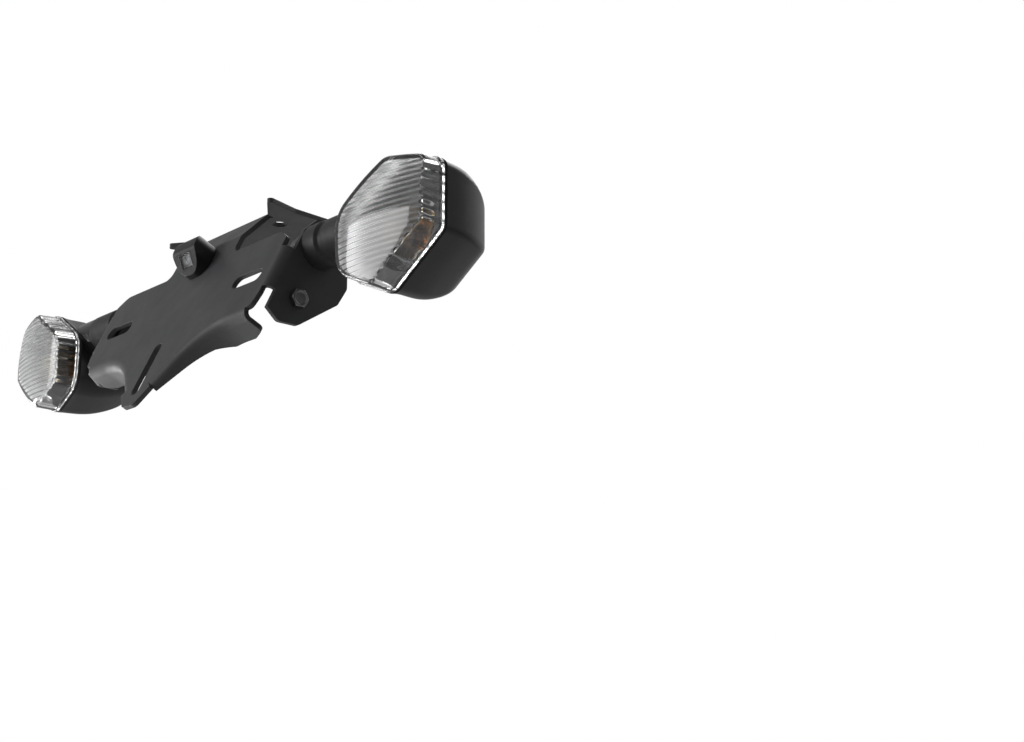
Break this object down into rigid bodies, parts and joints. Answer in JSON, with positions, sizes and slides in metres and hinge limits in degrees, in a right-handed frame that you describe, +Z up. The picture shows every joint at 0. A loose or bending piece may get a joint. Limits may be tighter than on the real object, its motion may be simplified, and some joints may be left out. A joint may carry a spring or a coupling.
{
  "type": "tail tidy",
  "caption": "Folded black bracket for a motorcycle's tail: slotted T-shaped plate face, plate light under the top flange, and a hexagonal clear indicator on a rubber stalk at each side.",
  "frame": {"origin": "centre of the tail bolt holes, on the top face of the flange", "axes": "+X to the vehicle's right, +Y forward along the vehicle, +Z up out of the flange's top face"},
  "size_m": [0.309, 0.0998, 0.089],
  "materials": {
    "bracket_black": "satin black powder coat with a fine grain",
    "lamp_black": "satin moulded plastic",
    "window_clear": "clear moulded window over white lamps",
    "board_white": "white circuit board",
    "zinc_steel": "bright zinc plate",
    "housing_black": "gloss moulded plastic",
    "lens_clear": "clear moulded lens with fine flutes",
    "gasket_black": "soft black rubber",
    "reflector_silver": "bright silvered plastic",
    "bulb_amber": "amber bulb glass",
    "cap_brass": "plain brass",
    "stalk_rubber": "satin black rubber"
  },
  "bodies": {
    "root": {"left_bulb": "bulb_amber", "left_bulb_cap": "cap_brass", "left_bulb_socket": "zinc_steel", "left_gasket": "gasket_black", "left_housing": "housing_black", "left_lens": "lens_clear", "left_lug_plate": "bracket_black", "left_reflector": "reflector_silver", "left_stalk": "stalk_rubber", "light_board": "board_white", "light_body": "lamp_black", "light_screws": "zinc_steel", "light_window": "window_clear", "lug_bolts": "zinc_steel", "lug_nuts": "zinc_steel", "plate_bracket": "bracket_black", "right_bulb": "bulb_amber", "right_bulb_cap": "cap_brass", "right_bulb_socket": "zinc_steel", "right_gasket": "gasket_black", "right_housing": "housing_black", "right_lens": "lens_clear", "right_lug_plate": "bracket_black", "right_reflector": "reflector_silver", "right_stalk": "stalk_rubber", "stalk_nuts": "zinc_steel", "stalk_studs": "zinc_steel", "stalk_washers": "zinc_steel"}
  },
  "joints": []
}
